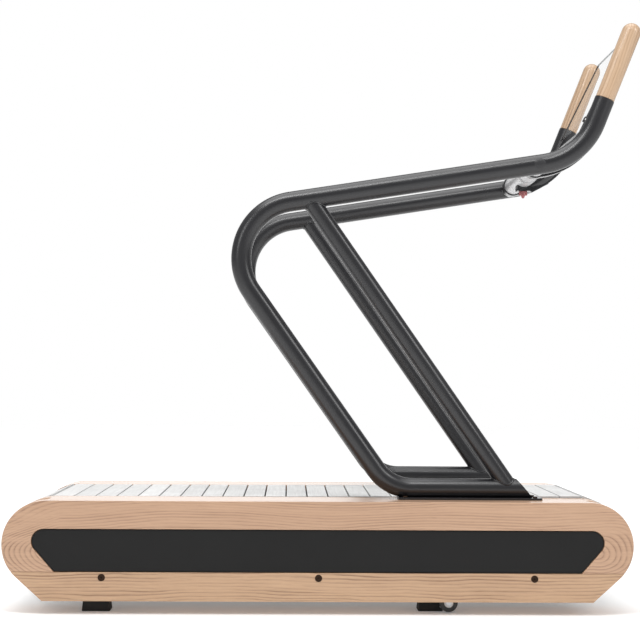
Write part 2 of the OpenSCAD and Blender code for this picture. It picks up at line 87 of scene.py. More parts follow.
BAR_X = (BAR_LO.x + BAR_HI.x) / 2
BAR_Z = (BAR_LO.z + BAR_HI.z) / 2
RAIL_CAP_R = 0.016
RAIL_CAP_T = 0.0008
BOLT_HEAD_R = 0.0065
BOLT_HEAD_T = 0.004
BOLT_PITCH_Y = 0.062
HUB_R = 0.0135
HUB_BORE_R = 0.0056
HUB_T = 0.006
TYRE_BORE_R = 0.0052

# Handrail centre line in the X-Z plane: base end, lower bend, rear bend, front bend, grip joint
BASE_Z = TOP_Z + 0.030
RAIL_POINTS = [
    (MID_X + 0.640, BASE_Z), (MID_X + 0.200, BASE_Z), (MID_X - 0.3455, 1.110),
    (MID_X + 0.746, 1.2825), (MID_X + 0.813, 1.452),
]
RAIL_BENDS = [0, 0.125, 0.164, 0.190, 0]
CUT_POINT = (MID_X + 0.560, 0.369)
CUT_ANGLE = math.radians(49.6)
BRACE_TOP = Vector((MID_X - 0.0305, RAIL_Y, 1.1599))
BRACE_FOOT = Vector((MID_X + 0.5421, RAIL_Y, BASE_Z))

# ---- camera ----

CAMERA_PLACE = Vector((MID_X - 0.0851, -4.7602, 0.6569))
CAMERA_YAW = 0.0195
CAMERA_PITCH = 0.0354
CAMERA_ROLL = 0.0061
CAMERA_LENS = 88.55


def make_camera():
    ahead = Vector((math.sin(CAMERA_YAW) * math.cos(CAMERA_PITCH),
                    math.cos(CAMERA_YAW) * math.cos(CAMERA_PITCH), math.sin(CAMERA_PITCH)))
    flat_right = Vector((math.cos(CAMERA_YAW), -math.sin(CAMERA_YAW), 0))
    flat_up = flat_right.cross(ahead)
    right = flat_right * math.cos(CAMERA_ROLL) + flat_up * math.sin(CAMERA_ROLL)
    up = flat_up * math.cos(CAMERA_ROLL) - flat_right * math.sin(CAMERA_ROLL)
    camera = bpy.data.objects.new("camera", bpy.data.cameras.new("camera"))
    camera.matrix_world = Matrix((
        (right.x, up.x, -ahead.x, CAMERA_PLACE.x),
        (right.y, up.y, -ahead.y, CAMERA_PLACE.y),
        (right.z, up.z, -ahead.z, CAMERA_PLACE.z),
        (0, 0, 0, 1),
    ))
    camera.data.lens = CAMERA_LENS
    camera.data.sensor_width = 36
    camera.data.clip_end = 60
    bpy.context.scene.collection.objects.link(camera)
    bpy.context.scene.camera = camera


make_camera()

# ---- materials ----


class Shader:
    """A Principled material and short calls that add nodes to it."""

    def __init__(self, name, **values):
        self.material = bpy.data.materials.new(name)
        self.material.use_nodes = True
        self.tree = self.material.node_tree
        self.bsdf = self.tree.nodes["Principled BSDF"]
        self.place = self.add("ShaderNodeTexCoord").outputs["Object"]
        for socket, value in values.items():
            self.bsdf.inputs[socket.replace("_", " ")].default_value = value

    def add(self, kind, **settings):
        node = self.tree.nodes.new(kind)
        for key, value in settings.items():
            setattr(node, key, value)
        return node

    def put(self, socket, value):
        if isinstance(value, bpy.types.NodeSocket):
            self.tree.links.new(value, socket)
        else:
            socket.default_value = value

    def math(self, operation, a, b=0.0, c=0.0):
        node = self.add("ShaderNodeMath", operation=operation)
        for socket, value in zip(node.inputs, (a, b, c)):
            self.put(socket, value)
        return node.outputs[0]

    def scaled(self, vector, scale, shift=(0, 0, 0), turn=(0, 0, 0)):
        node = self.add("ShaderNodeMapping")
        self.put(node.inputs["Vector"], vector)
        node.inputs["Location"].default_value = shift
        node.inputs["Rotation"].default_value = turn
        node.inputs["Scale"].default_value = scale
        return node.outputs[0]

    def noise(self, vector, scale, detail=2.0, roughness=0.5):
        node = self.add("ShaderNodeTexNoise")
        self.put(node.inputs["Vector"], vector)
        node.inputs["Scale"].default_value = scale
        node.inputs["Detail"].default_value = detail
        node.inputs["Roughness"].default_value = roughness
        return node.outputs["Fac"]

    def ramp(self, value, *stops):
        """stops are (position, grey or colour)."""
        node = self.add("ShaderNodeValToRGB")
        self.put(node.inputs[0], value)
        elements = node.color_ramp.elements
        while len(elements) < len(stops):
            elements.new(0.5)
        for element, (position, colour) in zip(elements, stops):
            element.position = position
            grey = isinstance(colour, (int, float))
            element.color = (colour, colour, colour, 1) if grey else (*colour, 1)
        return node.outputs[0]

    def spread(self, value, low, high):
        """Maps 0..1 onto low..high."""
        return self.math("MULTIPLY_ADD", value, high - low, low)

    def mix(self, factor, a, b, blend="MIX"):
        node = self.add("ShaderNodeMix", data_type="RGBA", blend_type=blend)
        self.put(node.inputs[0], factor)
        self.put(node.inputs[6], a if isinstance(a, bpy.types.NodeSocket) else (*a, 1))
        self.put(node.inputs[7], b if isinstance(b, bpy.types.NodeSocket) else (*b, 1))
        return node.outputs[2]

    def split(self, vector):
        node = self.add("ShaderNodeSeparateXYZ")
        self.put(node.inputs[0], vector)
        return node.outputs[0], node.outputs[1], node.outputs[2]

    def join(self, x, y, z):
        node = self.add("ShaderNodeCombineXYZ")
        for socket, value in zip(node.inputs, (x, y, z)):
            self.put(socket, value)
        return node.outputs[0]

    def finish(self, colour=None, roughness=None, height=None, strength=0.2, distance=0.0005):
        if colour is not None:
            self.put(self.bsdf.inputs["Base Color"], colour)
        if roughness is not None:
            self.put(self.bsdf.inputs["Roughness"], roughness)
        if height is not None:
            bump = self.add("ShaderNodeBump")
            bump.inputs["Strength"].default_value = strength
            bump.inputs["Distance"].default_value = distance
            self.put(bump.inputs["Height"], height)
            self.put(self.bsdf.inputs["Normal"], bump.outputs[0])
        return self.material


def wood(name, light, dark, ring, curl_x, curl_z, pith_y, wander, bold, seed, turn=(0, 0, 0)):
    """Ash. The rings lie round a pith line along X that ends at +-curl_x, so they curl round both ends.

    ring is the ring spacing, curl_z and pith_y are the pith line's place, wander is how far the grain
    drifts and bold how dark its lines are.
    """
    s = Shader(name, Specular_IOR_Level=0.25, Coat_Weight=0.8, Coat_Roughness=0.22)
    place = s.scaled(s.place, (1, 1, 1), turn=turn)
    x, y, z = s.split(place)
    drift = s.noise(s.scaled(place, (1.9, 4.0, 6.0), (seed, 0, 0)), 1.0, 1.5, 0.4)
    ripple = s.noise(s.scaled(place, (6.5, 14.0, 22.0), (0, seed, 0)), 1.0, 2.5, 0.5)
    past_end = s.math("MAXIMUM", s.math("SUBTRACT", s.math("ABSOLUTE", x), curl_x), 0.0)
    outward = s.math("MULTIPLY", past_end, 0.56)
    rise = s.math("ADD", s.math("SUBTRACT", z, curl_z), s.spread(drift, -wander, wander))
    rise = s.math("ADD", rise, s.spread(ripple, -0.3 * wander, 0.3 * wander))
    rise = s.math("ADD", rise, s.math("MULTIPLY", s.spread(drift, -1.1, 1.1), outward))
    depth = s.math("SUBTRACT", y, pith_y)
    square = s.math("ADD", s.math("MULTIPLY", outward, outward), s.math("MULTIPLY", rise, rise))
    reach = s.math("SQRT", s.math("ADD", square, s.math("MULTIPLY", depth, depth)))
    count = s.math("ADD", s.math("DIVIDE", reach, ring), s.spread(drift, -1.6, 1.6))
    phase = s.math("FRACT", count)
    band = s.ramp(phase, (0.0, 1.0), (0.12, 0.42), (0.34, 0.12), (0.7, 0.0), (0.93, 0.55), (1.0, 1.0))
    which = s.math("FLOOR", count)
    tone = s.noise(s.join(which, which, seed), 3.7, 1.0)
    fading = s.noise(s.scaled(place, (4.2, 20.0, 60.0), (seed, 0, seed)), 1.0, 2.0, 0.5)
    strong = s.math("MULTIPLY", s.math("MULTIPLY", band, s.ramp(tone, (0.32, 0.12), (0.68, 1.0))),
                    s.ramp(fading, (0.34, 0.18), (0.6, 1.0)))
    swell = s.math("MULTIPLY_ADD", s.math("MINIMUM", s.math("MULTIPLY", outward, 14.0), 1.0), 0.35, 1.0)
    strong = s.math("MULTIPLY", strong, swell)
    fibre = s.noise(s.scaled(place, (11.0, 480.0, 480.0), (seed, seed, 0)), 1.0, 3.0, 0.7)
    dashes = s.ramp(s.noise(s.scaled(place, (38.0, 900.0, 900.0)), 1.0, 1.5), (0.58, 0.0), (0.68, 1.0))
    cloud = s.noise(s.scaled(place, (1.3, 5.0, 7.0), (seed + 3, 0, 0)), 1.0, 3.0)
    amount = s.math("ADD", s.math("MULTIPLY", strong, bold), s.spread(fibre, -0.3, 0.42))
    amount = s.math("ADD", amount, s.math("MULTIPLY", dashes, s.spread(band, 0.08, 0.3)))
    amount = s.math("ADD", amount, s.spread(cloud, -0.2, 0.25))
    clamped = s.math("MINIMUM", s.math("MAXIMUM", amount, 0.0), 1.0)
    warm = s.mix(s.spread(cloud, 0.0, 0.4), light, (light[0] * 0.97, light[1] * 0.9, light[2] * 0.82))
    colour = s.mix(clamped, warm, dark)
    height = s.math("SUBTRACT", s.math("MULTIPLY", fibre, 0.4), dashes)
    return s.finish(colour, s.spread(amount, 0.42, 0.56), height, 0.2, 0.0003)


def powder_coat(name, colour, rough, specular=0.5):
    """Fine textured black paint: a pebbled surface with a slightly uneven sheen."""
    s = Shader(name, Specular_IOR_Level=specular)
    pebble = s.noise(s.place, 950.0, 2.0, 0.6)
    patch = s.noise(s.place, 7.0, 3.0)
    speck = s.ramp(s.noise(s.place, 420.0, 1.0), (0.7, 0.0), (0.78, 1.0))
    pale = tuple(c * 1.4 + 0.002 for c in colour)
    shade = s.mix(s.spread(patch, 0.0, 0.4), colour, pale)
    shade = s.mix(s.math("MULTIPLY", speck, 0.25), shade, tuple(c * 2.0 + 0.006 for c in colour))
    return s.finish(shade, s.spread(patch, rough - 0.06, rough + 0.08), pebble, 0.03, 0.0002)


def metal(name, colour, rough, lines, metallic=1.0):
    """Machined or anodised metal with fine lines round Y."""
    s = Shader(name, Metallic=metallic)
    brushed = s.noise(s.scaled(s.place, (lines, 12.0, lines)), 1.0, 3.0, 0.6)
    patch = s.noise(s.place, 9.0, 2.0)
    shade = s.mix(s.spread(patch, 0.0, 0.5), colour, tuple(c * 0.88 for c in colour))
    return s.finish(shade, s.spread(brushed, rough - 0.07, rough + 0.09), brushed, 0.08, 0.0002)


def rubber(name, colour, grain):
    s = Shader(name, Specular_IOR_Level=0.3)
    fine = s.noise(s.place, grain, 3.0, 0.6)
    dust = s.noise(s.place, 26.0, 4.0, 0.6)
    shade = s.mix(s.ramp(dust, (0.45, 0.0), (0.8, 0.35)), colour, tuple(c + 0.035 for c in colour))
    return s.finish(shade, s.spread(dust, 0.66, 0.86), fine, 0.3, 0.0004)


def slat_finish():
    """Pale sealed slats: grain along each slat, a stippled tread and small differences between slats."""
    s = Shader("slat_pale", Specular_IOR_Level=0.15)
    island = s.add("ShaderNodeNewGeometry").outputs["Random Per Island"]
    shifted = s.join(*s.split(s.place)[:2], s.math("MULTIPLY", island, 7.0))
    grain = s.noise(s.scaled(shifted, (240.0, 7.0, 1.0)), 1.0, 3.0, 0.6)
    stipple = s.noise(s.place, 620.0, 2.0, 0.6)
    mottle = s.noise(s.scaled(shifted, (14.0, 9.0, 3.0)), 1.0, 4.0, 0.55)
    base = s.mix(island, (0.63, 0.63, 0.625), (0.735, 0.735, 0.73))
    grained = s.mix(s.ramp(grain, (0.35, 0.3), (0.62, 0.0)), base, (0.42, 0.415, 0.405))
    shade = s.mix(s.ramp(mottle, (0.35, 0.28), (0.6, 0.0)), grained, (0.48, 0.48, 0.475))
    height = s.math("ADD", s.math("MULTIPLY", stipple, 0.6), grain)
    return s.finish(shade, s.spread(mottle, 0.7, 0.85), height, 0.3, 0.0004)


def inset_finish():
    """Satin black laminate with a soft leather-like grain."""
    s = Shader("inset_black", Specular_IOR_Level=0.2)
    cells = s.add("ShaderNodeTexVoronoi", feature="DISTANCE_TO_EDGE")
    s.put(cells.inputs["Vector"], s.place)
    cells.inputs["Scale"].default_value = 900.0
    patch = s.noise(s.place, 5.0, 4.0)
    shade = s.mix(patch, (0.011, 0.011, 0.011), (0.016, 0.016, 0.016))
    return s.finish(shade, s.spread(patch, 0.46, 0.6), cells.outputs["Distance"], 0.12, 0.0002)


def knob_finish():
    s = Shader("knob_red", Specular_IOR_Level=0.5)
    swirl = s.noise(s.place, 60.0, 3.0)
    shade = s.mix(swirl, (0.34, 0.1, 0.105), (0.44, 0.17, 0.17))
    return s.finish(shade, s.spread(swirl, 0.3, 0.45), s.noise(s.place, 900.0), 0.1, 0.0002)


def clear_finish():
    """Clear acrylic faces with a faint haze."""
    s = Shader("clear_panel", Alpha=0.08, Specular_IOR_Level=0.3)
    haze = s.noise(s.place, 18.0, 3.0)
    shade = s.mix(haze, (0.80, 0.84, 0.85), (0.9, 0.92, 0.925))
    return s.finish(shade, s.spread(haze, 0.05, 0.12), haze, 0.02, 0.0002)


def clear_edge_painted_shading():
    """The panel's sawn edges, coloured by which way they face: painted shade on its two sides, painted
    light on its ends.
    """
    s = Shader("clear_panel_edge", Specular_IOR_Level=0.3)
    sideways = s.split(s.add("ShaderNodeNewGeometry").outputs["Normal"])[1]
    # painted shade on the edges that face along Y, painted light on the other edges, chosen by the face's
    # direction
    shade_by_facing = s.ramp(s.math("ABSOLUTE", sideways), (0.35, 0.0), (0.75, 1.0))
    saw = s.noise(s.place, 400.0, 2.0)
    shade = s.mix(shade_by_facing, (0.36, 0.38, 0.39), (0.03, 0.024, 0.02))
    return s.finish(shade, s.spread(saw, 0.25, 0.5), saw, 0.1)


ASH_LIGHT = (0.55, 0.351, 0.229)
ASH_DARK = (0.27, 0.148, 0.09)
LOWER_LIGHT = (0.57, 0.37, 0.226)
LOWER_DARK = (0.235, 0.128, 0.07)
GRIP_LIGHT = (0.56, 0.395, 0.26)
GRIP_DARK = (0.29, 0.17, 0.098)
NO_CURL = 9.0
NECK_ANGLE = math.atan2(RAIL_POINTS[4][1] - RAIL_POINTS[3][1], RAIL_POINTS[4][0] - RAIL_POINTS[3][0])


def upper_wood(side):
    right = side == "r"
    return wood(f"ash_upper_{side}", ASH_LIGHT, ASH_DARK, ring=0.0078, curl_x=NOSE_X - 0.015, curl_z=0.172,
                pith_y=-0.43 if right else 0.43, wander=0.013, bold=1.05, seed=1.7 if right else 5.3)


def lower_wood(side):
    right = side == "r"
    return wood(f"ash_lower_{side}", LOWER_LIGHT, LOWER_DARK, ring=0.0098, curl_x=NO_CURL, curl_z=-0.06,
                pith_y=-0.40 if right else 0.40, wander=0.024, bold=1.7, seed=8.1 if right else 11.9)


def grip_wood(side):
    right = side == "r"
    return wood(f"ash_grip_{side}", GRIP_LIGHT, GRIP_DARK, ring=0.0085, curl_x=NO_CURL, curl_z=-0.45,
                pith_y=-0.31 if right else 0.28, wander=0.016, bold=1.1, seed=14.2 if right else 19.6,
                turn=(0, NECK_ANGLE, 0))


WOODS = {f"{part}_{side}": make(side) for side in "rl"
         for part, make in (("upper", upper_wood), ("lower", lower_wood), ("grip", grip_wood))}
FRAME_BLACK = powder_coat("frame_black", (0.0065, 0.0065, 0.0085), 0.3, 0.7)
INSET_BLACK = inset_finish()
CAP_BLACK = powder_coat("cap_black", (0.02, 0.02, 0.022), 0.42)
SCREW_BLACK = powder_coat("screw_black", (0.026, 0.011, 0.004), 0.6, 0.2)
SLAT_PALE = slat_finish()
STEEL = metal("steel", (0.52, 0.53, 0.54), 0.36, 500.0)
BEARING = metal("bearing_steel", (0.74, 0.74, 0.76), 0.16, 300.0)
DRUM_ALLOY = metal("drum_alloy", (0.66, 0.67, 0.68), 0.3, 700.0)
SILVER = metal("silver", (0.50, 0.50, 0.51), 0.38, 260.0, 0.4)
BELT_RUBBER = rubber("belt_rubber", (0.022, 0.022, 0.022), 500.0)
FOOT_RUBBER = rubber("foot_rubber", (0.02, 0.02, 0.021), 700.0)
TYRE = rubber("wheel_tyre", (0.05, 0.052, 0.052), 800.0)
HUB = rubber("wheel_hub", (0.62, 0.62, 0.61), 900.0)
KNOB_RED = knob_finish()
CLEAR = clear_finish()
CLEAR_EDGE = clear_edge_painted_shading()

# ---- mesh tools ----


def new_piece(name, bm, material):
    mesh = bpy.data.meshes.new(name)
    bmesh.ops.recalc_face_normals(bm, faces=bm.faces)
    bm.to_mesh(mesh)
    bm.free()
    mesh.materials.append(material)
    piece = bpy.data.objects.new(name, mesh)
    bpy.context.scene.collection.objects.link(piece)
    return piece


def smooth(piece, degrees=32):
    piece.data.polygons.foreach_set("use_smooth", [True] * len(piece.data.polygons))
    piece.data.set_sharp_from_angle(angle=math.radians(degrees))


def apply_modifiers(piece):
    graph = bpy.context.evaluated_depsgraph_get()
    graph.update()
    made = bpy.data.meshes.new_from_object(piece.evaluated_get(graph))
    piece.modifiers.clear()
    piece.data = made


def rounded(piece, width, segments=3, degrees=32):
    """Rounds every edge sharper than degrees."""
    smooth(piece, degrees)
    bevel = piece.modifiers.new("bevel", "BEVEL")
    bevel.width = width
    bevel.segments = segments
    bevel.limit_method = "ANGLE"
    bevel.angle_limit = math.radians(degrees)
    bevel.harden_normals = True
    apply_modifiers(piece)
    return piece


def cut(piece, cutter):
    """Takes cutter out of piece, then removes it."""
    boolean = piece.modifiers.new("cut", "BOOLEAN")
    boolean.operation = "DIFFERENCE"
    boolean.solver = "EXACT"
    boolean.object = cutter
    apply_modifiers(piece)
    bpy.data.objects.remove(cutter)


def show(piece, body, slot, *nodes):
    """Rides the piece on its body in place of the nodes."""
    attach(piece, body)
    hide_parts(*nodes)
    return piece


def prism(name, points, y0, y1, material):
    """Extrudes an outline of (x, z) points from y0 to y1."""
    bm = bmesh.new()
    face = bm.faces.new([bm.verts.new((x, y0, z)) for x, z in points])
    made = bmesh.ops.extrude_face_region(bm, geom=[face])["geom"]
    moved = [v for v in made if isinstance(v, bmesh.types.BMVert)]
    bmesh.ops.translate(bm, verts=moved, vec=(0, y1 - y0, 0))
    return new_piece(name, bm, material)


def arc(cx, cz, r, start, end, steps):
    return [(cx + r * math.cos(start + (end - start) * i / steps),
             cz + r * math.sin(start + (end - start) * i / steps)) for i in range(steps + 1)]


def boat(cx, cz, r, low, slope, shrink=0.0, steps=36):
    """Outline with a flat top, round ends and sloping undercuts, as in the CAD, shrunk all round."""
    rr = r - shrink
    base = low + shrink
    tangent_x = cx + rr * math.sin(slope)
    tangent_z = cz - rr * math.cos(slope)
    corner_x = tangent_x - (tangent_z - base) / math.tan(slope)
    right = [(corner_x, base)] + arc(cx, cz, rr, slope - math.pi / 2, math.pi / 2, steps)
    left = [(-x, z) for x, z in reversed(right)]
    return [(MID_X + x, z) for x, z in right + left]


def above(points, z):
    """The part of a convex outline above height z."""
    kept = []
    for (x0, z0), (x1, z1) in zip(points, points[1:] + points[:1]):
        if z0 >= z:
            kept.append((x0, z0))
        if (z0 - z) * (z1 - z) < 0:
            t = (z - z0) / (z1 - z0)
            kept.append((x0 + t * (x1 - x0), z))
    return kept


def below(points, z):
    """The part of a convex outline under height z."""
    return [(x, -h) for x, h in above([(x, -h) for x, h in points], -z)]


def beyond(points, limit_x):
    """The part of a convex outline with x above limit_x."""
    return [(x, z) for z, x in above([(z, x) for x, z in points], limit_x)]


def mirrored(points):
    return [(2 * MID_X - x, z) for x, z in reversed(points)]


def lathe(name, profile, origin, axis, material, steps=64):
    """Turns (radius, height) points round axis through origin. Ends with radius 0 close to a point."""
    bm = bmesh.new()
    frame_z = Vector(axis).normalized()
    frame_x = frame_z.orthogonal().normalized()
    frame_y = frame_z.cross(frame_x)
    rings = []
    for radius, height in profile:
        centre = Vector(origin) + frame_z * height
        if radius < 1e-7:
            rings.append([bm.verts.new(centre)])
            continue
        rings.append([bm.verts.new(centre + frame_x * radius * math.cos(2 * math.pi * i / steps)
                                   + frame_y * radius * math.sin(2 * math.pi * i / steps))
                      for i in range(steps)])
    for a, b in zip(rings, rings[1:]):
        for i in range(steps):
            corners = [a[i % len(a)], a[(i + 1) % len(a)], b[(i + 1) % len(b)], b[i % len(b)]]
            bm.faces.new(list(dict.fromkeys(corners)))
    for ring in (rings[0], rings[-1]):
        if len(ring) > 1:
            bm.faces.new(ring)
    piece = new_piece(name, bm, material)
    smooth(piece)
    return piece


def rounded_disc(r, low, high, edge, steps=6):
    """Profile of a disc with rounded rims, for lathe."""
    lower = [(r - edge + edge * math.sin(a), low + edge - edge * math.cos(a))
             for a in (math.pi / 2 * i / steps for i in range(steps + 1))]
    upper = [(r - edge + edge * math.cos(a), high - edge + edge * math.sin(a))
             for a in (math.pi / 2 * i / steps for i in range(steps + 1))]
    return [(0, low)] + lower + upper + [(0, high)]


def sweep(name, places, radius, material, steps=48, shape=None, closed=False):
    """A tube along places, which are points in 3D. shape, if given, moves each point it is handed."""
    bm = bmesh.new()
    rings = []
    count = len(places)
    side = None
    for i, place in enumerate(places):
        before = places[i - 1] if i or closed else place
        after = places[(i + 1) % count] if i + 1 < count or closed else place
        ahead = (after - before).normalized()
        if side is None:
            side = Vector((0, 1, 0)) if abs(ahead.y) < 0.9 else Vector((1, 0, 0))
        side = (side - ahead * side.dot(ahead)).normalized()
        other = ahead.cross(side)
        ring = [place + side * radius * math.cos(2 * math.pi * k / steps)
                + other * radius * math.sin(2 * math.pi * k / steps) for k in range(steps)]
        rings.append([bm.verts.new(shape(p, i) if shape else p) for p in ring])
    pairs = list(zip(rings, rings[1:])) + ([(rings[-1], rings[0])] if closed else [])
    for a, b in pairs:
        for k in range(steps):
            bm.faces.new((a[k], a[(k + 1) % steps], b[(k + 1) % steps], b[k]))
    if not closed:
        bm.faces.new(rings[0])
        bm.faces.new(rings[-1])
    return new_piece(name, bm, material)


def bent_line(points, bends, y, step=math.radians(3)):
    """Points along a line of straights and bends in the plane Y = y."""
    line = [Vector((points[0][0], y, points[0][1]))]
    for i in range(1, len(points) - 1):
        p0, p1, p2 = (Vector((points[k][0], y, points[k][1])) for k in (i - 1, i, i + 1))
        enter, leave = (p1 - p0).normalized(), (p2 - p1).normalized()
        turn = enter.angle(leave)
        trim = bends[i] * math.tan(turn / 2)
        inward = (leave - enter).normalized()
        centre = p1 + inward * bends[i] / math.cos(turn / 2)
        start = p1 - enter * trim - centre
        axis = enter.cross(leave).normalized()
        parts = max(6, round(turn / step))
        line += [centre + Matrix.Rotation(turn * k / parts, 3, axis) @ start for k in range(parts + 1)]
    line.append(Vector((points[-1][0], y, points[-1][1])))
    return line


def flipped(piece, name, material=None):
    """The mirror image of a piece across Y = 0, as a piece of its own."""
    mesh = piece.data.copy()
    mesh.transform(Matrix.Diagonal((1, -1, 1, 1)))
    mesh.flip_normals()
    if material is not None:
        mesh.materials.clear()
        mesh.materials.append(material)
    twin = bpy.data.objects.new(name, mesh)
    bpy.context.scene.collection.objects.link(twin)
    return twin


def joined(name, pieces, material):
    """One mesh from several."""
    bm = bmesh.new()
    for piece in pieces:
        bm.from_mesh(piece.data)
        bpy.data.objects.remove(piece)
    piece = new_piece(name, bm, material)
    smooth(piece)
    return piece


def refined(node, name, material, width, segments=2, degrees=32):
    """The CAD node's own shape with its flat faces merged and its edges rounded."""
    bm = bmesh.new()
    bm.from_mesh(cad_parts[node].data)
    bmesh.ops.remove_doubles(bm, verts=bm.verts, dist=1e-5)
    bmesh.ops.dissolve_limit(bm, angle_limit=math.radians(0.5), verts=bm.verts, edges=bm.edges)
    return rounded(new_piece(name, bm, material), width, segments, degrees)


def both_sides(make, name, body, slot, node, materials):
    """Makes the right-hand piece, mirrors it, and shows both."""
    right = make(f"{name}_r", materials[0])
    left = flipped(right, f"{name}_l", materials[-1])
    show(right, body, slot, f"{node}_r")
    show(left, body, slot, f"{node}_l")
    return right, left


SIDE_OUTLINE = boat(NOSE_X, TOP_Z - NOSE_R, NOSE_R, BOTTOM_Z, UNDERCUT)
INSET_X = INSET_HI.x - MID_X - INSET_R
INSET_Z = INSET_HI.z - INSET_R

# ---- side bodies ----


def upper_board(name, material):
    board = prism(name, above(SIDE_OUTLINE, JOINT_Z + GLUE_GAP), OUTER_Y, OUTER_Y + BOARD_T, material)
    pocket = boat(INSET_X, INSET_Z, INSET_R, INSET_LO.z, INSET_UNDERCUT, -INSET_GAP)
    cut(board, prism("pocket", pocket, OUTER_Y - 0.01, INSET_HI.y, material))
    return rounded(board, BOARD_EDGE, 3, OUTLINE_ANGLE)


def lower_board(name, material):
    board = prism(name, below(SIDE_OUTLINE, JOINT_Z - GLUE_GAP), OUTER_Y, OUTER_Y + BOARD_T, material)
    for x, z in screw_places():
        hole = rounded_disc(SCREW_HOLE_R, -0.02, 0.006, 0.0001, 1)
        cut(board, lathe("hole", hole, (x, OUTER_Y, z), (0, 1, 0), material))
    return rounded(board, BOARD_EDGE, 3, OUTLINE_ANGLE)


def screw_places():
    lo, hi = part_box("panel_screws")
    z = (lo.z + hi.z) / 2
    reach = (hi.x - lo.x) / 2 - (hi.z - lo.z) / 2
    return [(MID_X + s * reach, z) for s in (-1, 0, 1)]


def screw_heads(name, material):
    """Domed caps with a hexagon socket, their faces just proud of the board."""
    heads = []
    for x, z in screw_places():
        place = (x, OUTER_Y, z)
        dome = rounded_disc(SCREW_HEAD_R, -0.0007, 0.0055, 0.0011)
        head = lathe("head", dome, place, (0, 1, 0), material)
        socket = [(0.0, -0.003), (0.0034, -0.003), (0.0034, 0.0026), (0.0, 0.0026)]
        cut(head, lathe("socket", socket, place, (0, 1, 0), material, 6))
        heads.append(head)
    return joined(name, heads, material)


def inset_panel(name, material):
    outline = boat(INSET_X, INSET_Z, INSET_R, INSET_LO.z, INSET_UNDERCUT)
    return rounded(prism(name, outline, INSET_LO.y, INSET_HI.y, material), 0.0007, 2, OUTLINE_ANGLE)


def foot_board(name, material):
    top = FOOT_BOARD_HI.x - MID_X
    low = TOP_Z - SHELL_T
    outline = [(MID_X - top, low), (MID_X + top, low), (MID_X + top, TOP_Z), (MID_X - top, TOP_Z)]
    board = prism(name, outline, FOOT_BOARD_LO.y + GLUE_GAP, FOOT_BOARD_HI.y, material)
    return rounded(board, SHELL_EDGE, 2)


def nose_outline():
    """Bent shell at the front: the outer outline, then back along the inner one."""
    centre_z = TOP_Z - NOSE_R
    start_x = MID_X + NOSE_X + SHELL_GAP
    outer = beyond(SIDE_OUTLINE, start_x)
    inner = boat(NOSE_X, centre_z, NOSE_R - SHELL_T, BOTTOM_Z + SHELL_T, UNDERCUT)
    inner = [p for p in inner if p[0] > start_x]
    inner += [(start_x, BOTTOM_Z + SHELL_T), (start_x, TOP_Z - SHELL_T)]

    def angle(point):
        return math.atan2(point[1] - centre_z, point[0] - MID_X - NOSE_X + 0.05)

    return sorted(outer, key=angle) + sorted(inner, key=angle)[::-1]


def end_noses(name, material):
    ends = []
    for outline in (nose_outline(), mirrored(nose_outline())):
        end = prism("nose", outline, NOSE_LO.y + GLUE_GAP, NOSE_HI.y, material)
        ends.append(rounded(end, SHELL_EDGE, 2, OUTLINE_ANGLE))
    return joined(name, ends, material)


def build_side_bodies():
    upper = (WOODS["upper_r"], WOODS["upper_l"])
    lower = (WOODS["lower_r"], WOODS["lower_l"])
    both_sides(upper_board, "upper_board", "chassis", "ash", "upper_side_board", upper)
    both_sides(lower_board, "lower_board", "chassis", "ash_light", "lower_side_board", lower)
    both_sides(inset_panel, "inset_panel", "chassis", "inset", "inset_plate", (INSET_BLACK,))
    both_sides(foot_board, "foot_board_top", "chassis", "ash", "foot_board", upper)
    both_sides(end_noses, "end_nose_shells", "chassis", "ash", "end_noses", upper)
    right = screw_heads("screw_heads_right", SCREW_BLACK)
    left = flipped(right, "screw_heads_left")
    show(joined("screw_heads", [right, left], SCREW_BLACK), "chassis", "screw_black", "panel_screws")
    for side in "rl":
        for node, slot, key in (("inner_cheek", "ash", "upper"), ("bottom_board", "ash_light", "lower")):
            piece = refined(f"{node}_{side}", f"{node}_shaped_{side}", WOODS[f"{key}_{side}"], 0.0009)
            show(piece, "chassis", slot, f"{node}_{side}")


# ---- belt ----


def build_belt():
    for part, body in (("top", "top_run"), ("bottom", "bottom_run"),
                       ("front", "front_turn"), ("rear", "rear_turn")):
        slats = refined(f"{part}_slats", f"{part}_treads", SLAT_PALE, 0.0012, 2, 20)
        show(slats, body, "slat", f"{part}_slats")


# ---- handrails ----


def cut_base(point, ring):
    """Trims a tube point onto the plate, and the first ring onto the slanted end."""
    z = max(point.z, PLATE_TOP_Z)
    if ring > 1:
        return Vector((point.x, point.y, z))
    end_x = CUT_POINT[0] + (CUT_POINT[1] - z) / math.tan(CUT_ANGLE)
    return Vector((end_x - (0.0 if ring == 0 else 0.0006), point.y, z))


def handrail(name, material):
    line = bent_line(RAIL_POINTS, RAIL_BENDS, RAIL_Y)
    line.insert(1, line[0] - Vector((0.02, 0, 0)))
    line.insert(2, line[0] - Vector((0.12, 0, 0)))
    rail = sweep(name, line, TUBE_R, material, 64, cut_base)
    smooth(rail, 40)
    return rail


def tube_distance(point, start, end):
    """Distance of a point from the line through start and end."""
    ahead = (end - start).normalized()
    return ((point - start) - ahead * (point - start).dot(ahead)).length


def weld_line(start, ahead, radius, other_start, other_end, other_radius, steps=72):
    """Where a round bar that runs from inside another bar leaves its surface."""
    side = Vector((0, 1, 0))
    across = ahead.cross(side)
    line = []
    for i in range(steps):
        a = 2 * math.pi * i / steps
        edge = start + side * radius * math.cos(a) + across * radius * math.sin(a)
        low, high = 0.0, 0.12
        for _ in range(24):
            mid = (low + high) / 2
            if tube_distance(edge + ahead * mid, other_start, other_end) < other_radius:
                low = mid
            else:
                high = mid
        line.append(edge + ahead * high)
    return line


def rail_point(i):
    return Vector((RAIL_POINTS[i][0], RAIL_Y, RAIL_POINTS[i][1]))


